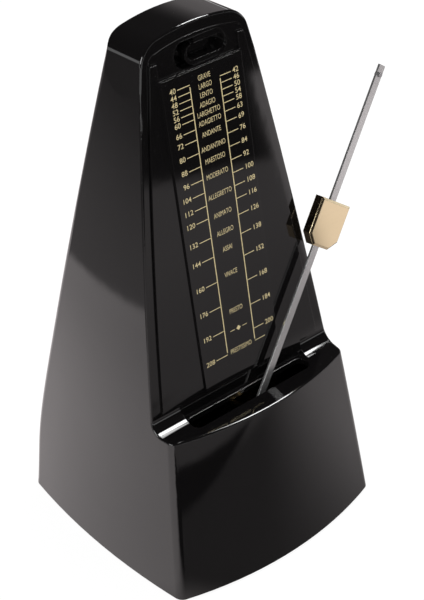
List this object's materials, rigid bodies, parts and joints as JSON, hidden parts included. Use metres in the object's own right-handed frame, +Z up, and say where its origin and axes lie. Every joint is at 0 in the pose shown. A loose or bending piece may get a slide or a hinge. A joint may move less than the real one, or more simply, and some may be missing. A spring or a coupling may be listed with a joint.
{
  "type": "metronome",
  "caption": "Mechanical pyramid metronome with open front, tempo scale, swinging pendulum, sliding weight and winding key.",
  "frame": {"origin": "middle of the underside of the base plate; the rubber feet reach 1.5 mm lower", "axes": "+Z up, -Y towards the front with the tempo scale, +X to the right as seen from the front"},
  "size_m": [0.1425, 0.1061, 0.2183],
  "materials": {
    "case_black": "high gloss",
    "panel_black": "high gloss",
    "scale_black": "gloss black with pale gold printing",
    "base_black": "fine grain",
    "foot_rubber": "matte",
    "screw_steel": "zinc plated",
    "frame_steel": "satin",
    "gear_brass": "satin",
    "arbor_steel": "turned",
    "spring_steel": "blued",
    "rod_steel": "satin",
    "weight_champagne": "champagne anodised",
    "counterweight_metal": "cast",
    "key_brass": "polished",
    "bush_black": "smooth"
  },
  "bodies": {
    "case": {"case_shell": "case_black", "front_panel": "panel_black", "pendulum_rest": "panel_black", "scale_plate": "scale_black", "base_plate": "base_black", "rubber_feet": "foot_rubber", "base_screws": "screw_steel", "movement_screws": "screw_steel", "left_movement_plate": "frame_steel", "right_movement_plate": "frame_steel", "lower_frame_bars": "frame_steel", "upper_pillars": "arbor_steel", "plate_screws": "screw_steel", "front_bridge": "gear_brass", "bridge_screws": "screw_steel", "potence": "gear_brass", "potence_screws": "screw_steel", "click_screw": "screw_steel", "click_spring": "spring_steel", "click_spring_screw": "screw_steel", "winding_bush": "bush_black"},
    "pendulum": {"pallet_arbor": "arbor_steel", "pendulum_hub": "gear_brass", "hub_screw": "screw_steel", "pendulum_rod": "rod_steel", "rod_stop": "screw_steel", "counterweight": "counterweight_metal"},
    "tempo_weight": {"sliding_weight": "weight_champagne", "weight_spring": "spring_steel"},
    "winding": {"winding_arbor": "arbor_steel", "ratchet_wheel": "arbor_steel", "winding_key": "key_brass"},
    "barrel": {"great_wheel": "gear_brass", "barrel_drum": "gear_brass", "barrel_cover": "gear_brass", "mainspring": "spring_steel"},
    "second": {"second_arbor": "arbor_steel", "second_wheel": "gear_brass"},
    "escape": {"escape_arbor": "arbor_steel", "escape_wheel": "gear_brass"},
    "click": {"click": "arbor_steel"}
  },
  "joints": [
    {"name": "pendulum_swing", "type": "hinge", "parent": "case", "child": "pendulum", "pos_m": [0, -0.03181, 0.0589], "axis": [0, 0.9824, -0.1867], "range_deg": [-74.1, 1.9]},
    {"name": "weight_slide", "type": "slide", "parent": "pendulum", "child": "tempo_weight", "axis": [0.5892, 0.1508, 0.7938], "range_m": [-0.0633, 0.0511]},
    {"name": "key_turn", "type": "hinge", "parent": "case", "child": "winding", "pos_m": [0, 0.008, 0.03], "axis": [1, 0, 0], "continuous": true},
    {"name": "barrel_turn", "type": "hinge", "parent": "case", "child": "barrel", "pos_m": [0, 0.008, 0.03], "axis": [1, 0, 0], "continuous": true},
    {"name": "second_turn", "type": "hinge", "parent": "case", "child": "second", "pos_m": [0, 0.01917, 0.04901], "axis": [1, 0, 0], "continuous": true},
    {"name": "escape_turn", "type": "hinge", "parent": "case", "child": "escape", "pos_m": [0, 0, 0.05286], "axis": [1, 0, 0], "continuous": true},
    {"name": "click_lift", "type": "hinge", "parent": "case", "child": "click", "pos_m": [0.0243, -0.0056, 0.02366], "axis": [1, 0, 0], "range_deg": [0, 9], "stiffness_Nm_per_rad": 0.01, "springref_deg": -5.73, "deforming": ["click_spring"]}
  ],
  "couplings": [
    {"joint": "second_turn", "follows": "barrel_turn", "ratio": -6.3333},
    {"joint": "escape_turn", "follows": "barrel_turn", "ratio": 43.067}
  ]
}
